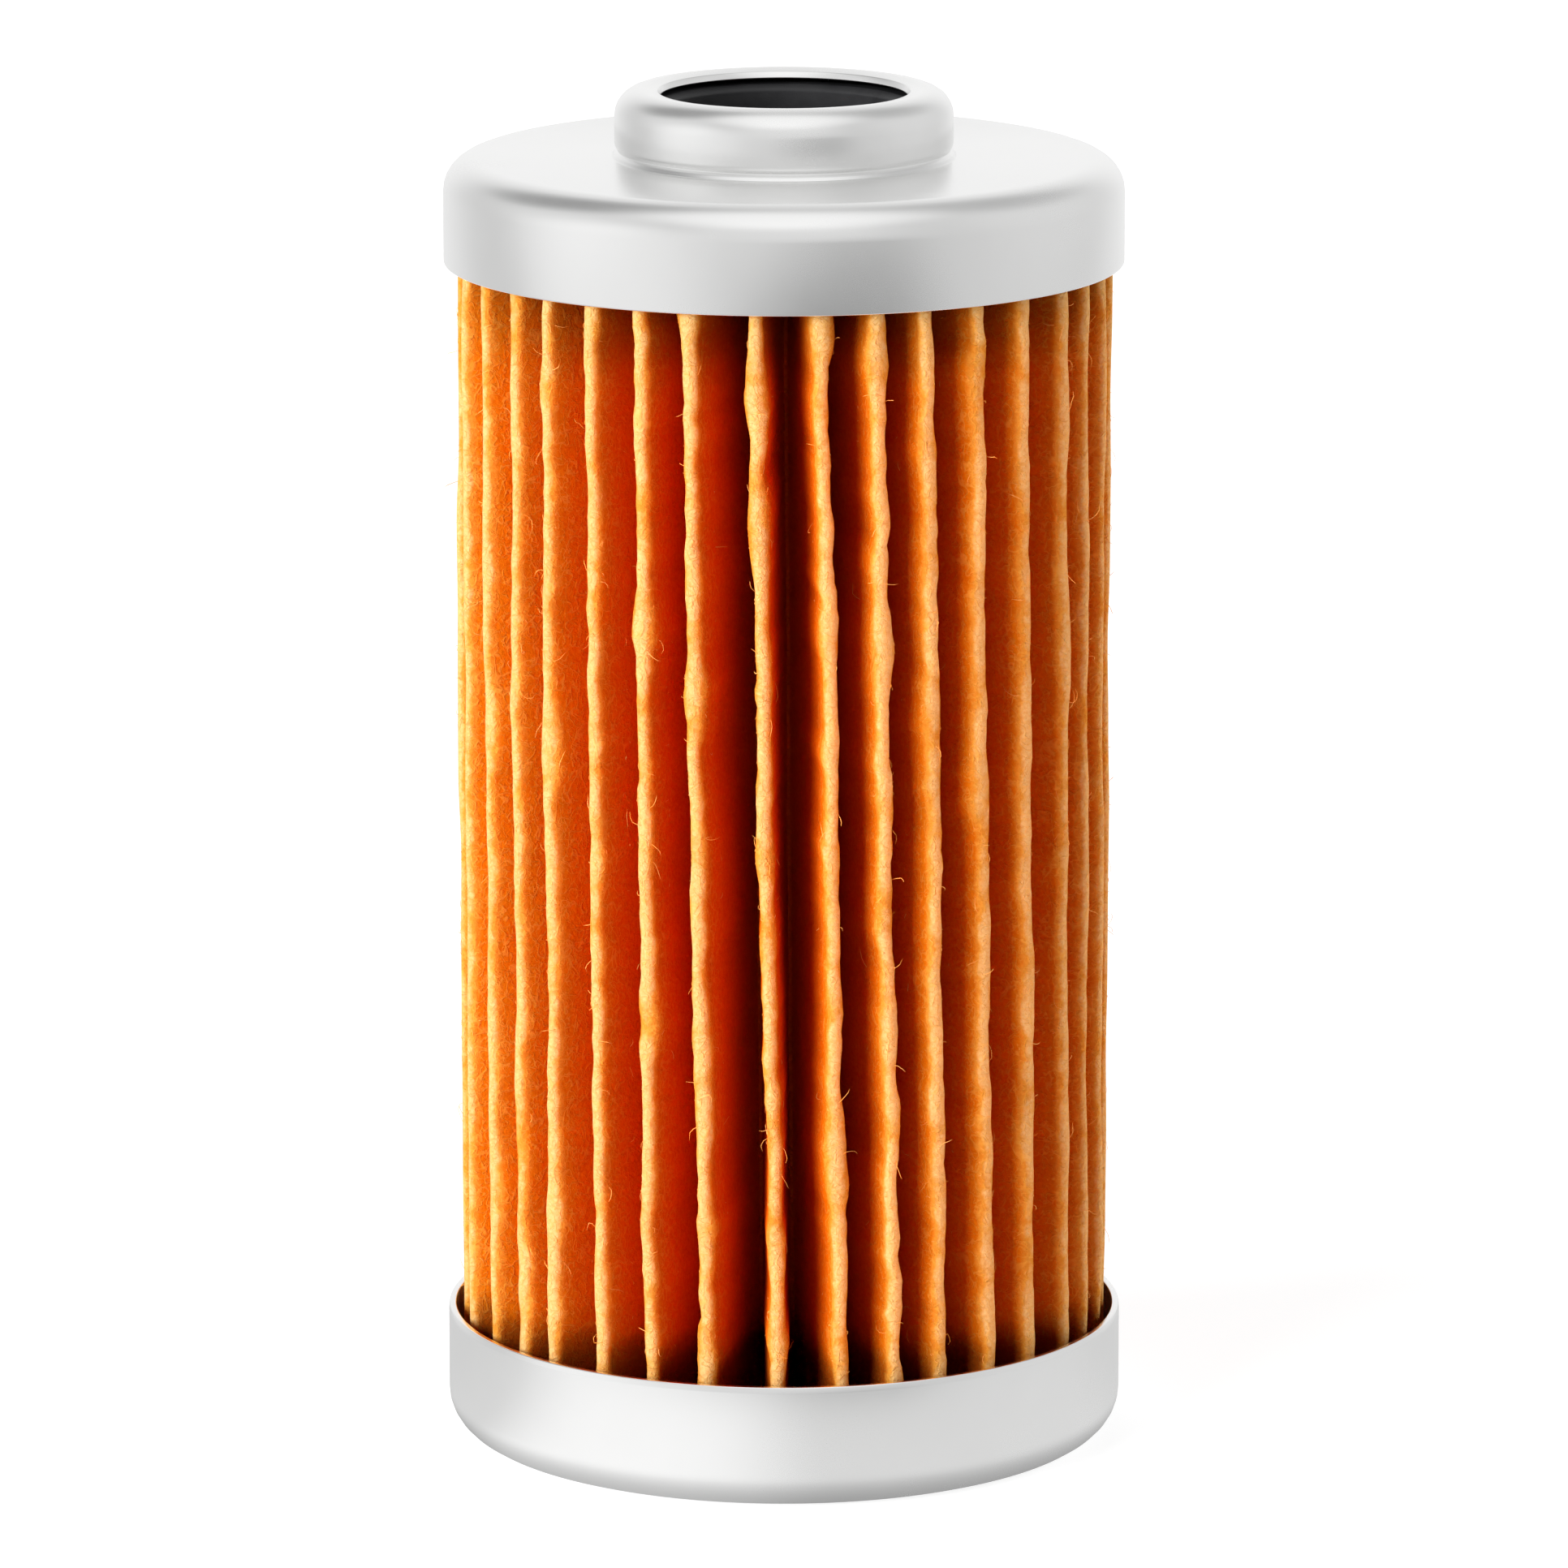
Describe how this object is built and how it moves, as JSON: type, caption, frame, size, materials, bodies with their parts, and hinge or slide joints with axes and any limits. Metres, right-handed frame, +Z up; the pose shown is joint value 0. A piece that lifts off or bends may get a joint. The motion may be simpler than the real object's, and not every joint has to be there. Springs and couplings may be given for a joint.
{
  "type": "oil filter element",
  "caption": "Pleated paper oil filter element between pressed metal end caps, with a rubber-sealed neck and a sprung relief valve in its base.",
  "frame": {"origin": "middle of the flat base, under the bottom end cap", "axes": "+Z up the element's axis and out through the neck; +Y towards the paper's seam, at the back"},
  "size_m": [0.0402, 0.0402, 0.0809],
  "materials": {
    "tinplate": "satin",
    "plated_steel": "satin",
    "spring_steel": "satin",
    "seal_rubber": "satin",
    "filter_paper": "matte",
    "bond_sealant": "satin"
  },
  "bodies": {
    "element": {"top_end_cap": "tinplate", "neck_seal": "seal_rubber", "seal_retainer": "plated_steel", "top_bond": "bond_sealant", "pleated_paper": "filter_paper", "seam_clip": "plated_steel", "centre_tube": "plated_steel", "bottom_bond": "bond_sealant", "bottom_end_cap": "tinplate", "valve_cage": "plated_steel", "valve_spring": "spring_steel"},
    "relief_valve": {"valve_disc": "plated_steel", "valve_gasket": "seal_rubber"}
  },
  "joints": [
    {"name": "relief_lift", "type": "slide", "parent": "element", "child": "relief_valve", "axis": [0, 0, 1], "range_m": [0, 0.0025], "stiffness_N_per_m": 1500, "springref_m": -0.002, "deforming": ["valve_spring"]}
  ]
}
